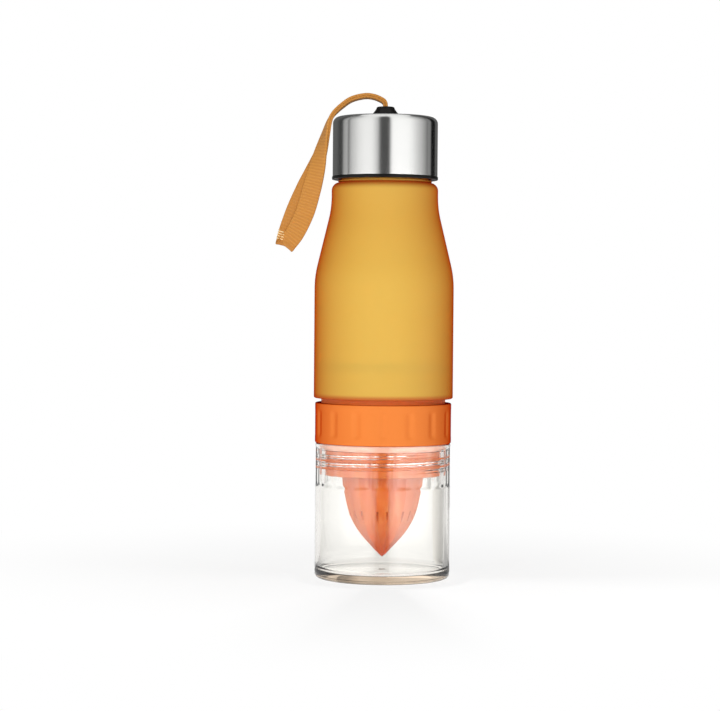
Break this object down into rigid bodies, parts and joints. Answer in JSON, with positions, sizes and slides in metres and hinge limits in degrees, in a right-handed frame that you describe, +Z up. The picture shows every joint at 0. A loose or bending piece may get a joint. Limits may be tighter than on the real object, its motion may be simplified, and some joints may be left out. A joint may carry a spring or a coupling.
{
  "type": "fruit infuser water bottle",
  "caption": "Tall infuser bottle: clear screw-on cup, ribbed citrus press in a grip collar, frosted tapered body, brushed steel screw lid with a webbing wrist loop.",
  "frame": {"origin": "centre of the cup's flat foot, on the bottle's axis", "axes": "+Z up the bottle's axis to the lid, -X to the side where the strap hangs, +Y to the back"},
  "size_m": [0.0922, 0.072, 0.2502],
  "materials": {
    "clear_plastic": "clear gloss",
    "orange_clear": "translucent gloss",
    "orange_solid": "matte",
    "frosted_amber": "frosted, soft touch",
    "steel": "turned and brushed",
    "black_plastic": "gloss",
    "silicone": "satin",
    "pin_steel": "drawn",
    "webbing": "woven nylon"
  },
  "bodies": {
    "cup": {"base_cup": "clear_plastic"},
    "cup_ring": {"cup_seal": "silicone"},
    "press": {"juicer_press": "orange_clear", "grip_collar": "orange_solid"},
    "body_ring": {"body_seal": "silicone"},
    "bottle": {"bottle_body": "frosted_amber"},
    "lid_ring": {"lid_seal": "silicone"},
    "lid": {"lid_liner": "black_plastic", "lid_shell": "steel", "strap_grommet": "black_plastic", "strap_pin": "pin_steel", "strap_tail": "webbing"},
    "strap": {"strap": "webbing"}
  },
  "joints": [
    {"name": "cup_lift", "type": "slide", "parent": "cup", "child": "cup_ring", "axis": [0, 0, 1], "range_m": [0, 0.01201]},
    {"name": "cup_thread", "type": "hinge", "parent": "cup_ring", "child": "press", "pos_m": [0, 0, 0.07], "axis": [0, 0, 1], "range_deg": [0, 1080]},
    {"name": "body_lift", "type": "slide", "parent": "press", "child": "body_ring", "axis": [0, 0, 1], "range_m": [0, 0.01201]},
    {"name": "body_thread", "type": "hinge", "parent": "body_ring", "child": "bottle", "pos_m": [0, 0, 0.093], "axis": [0, 0, 1], "range_deg": [0, 1080]},
    {"name": "lid_lift", "type": "slide", "parent": "bottle", "child": "lid_ring", "axis": [0, 0, 1], "range_m": [0, 0.01201]},
    {"name": "lid_thread", "type": "hinge", "parent": "lid_ring", "child": "lid", "pos_m": [0, 0, 0.2175], "axis": [0, 0, 1], "range_deg": [0, 1080]},
    {"name": "strap_swing", "type": "hinge", "parent": "lid", "child": "strap", "pos_m": [0, 0, 0.24482], "axis": [0, 1, 0], "range_deg": [0, 110]}
  ],
  "couplings": [
    {"joint": "cup_lift", "follows": "cup_thread", "m_per_rad": 0.00063662},
    {"joint": "body_lift", "follows": "body_thread", "m_per_rad": 0.00063662},
    {"joint": "lid_lift", "follows": "lid_thread", "m_per_rad": 0.00063662}
  ]
}
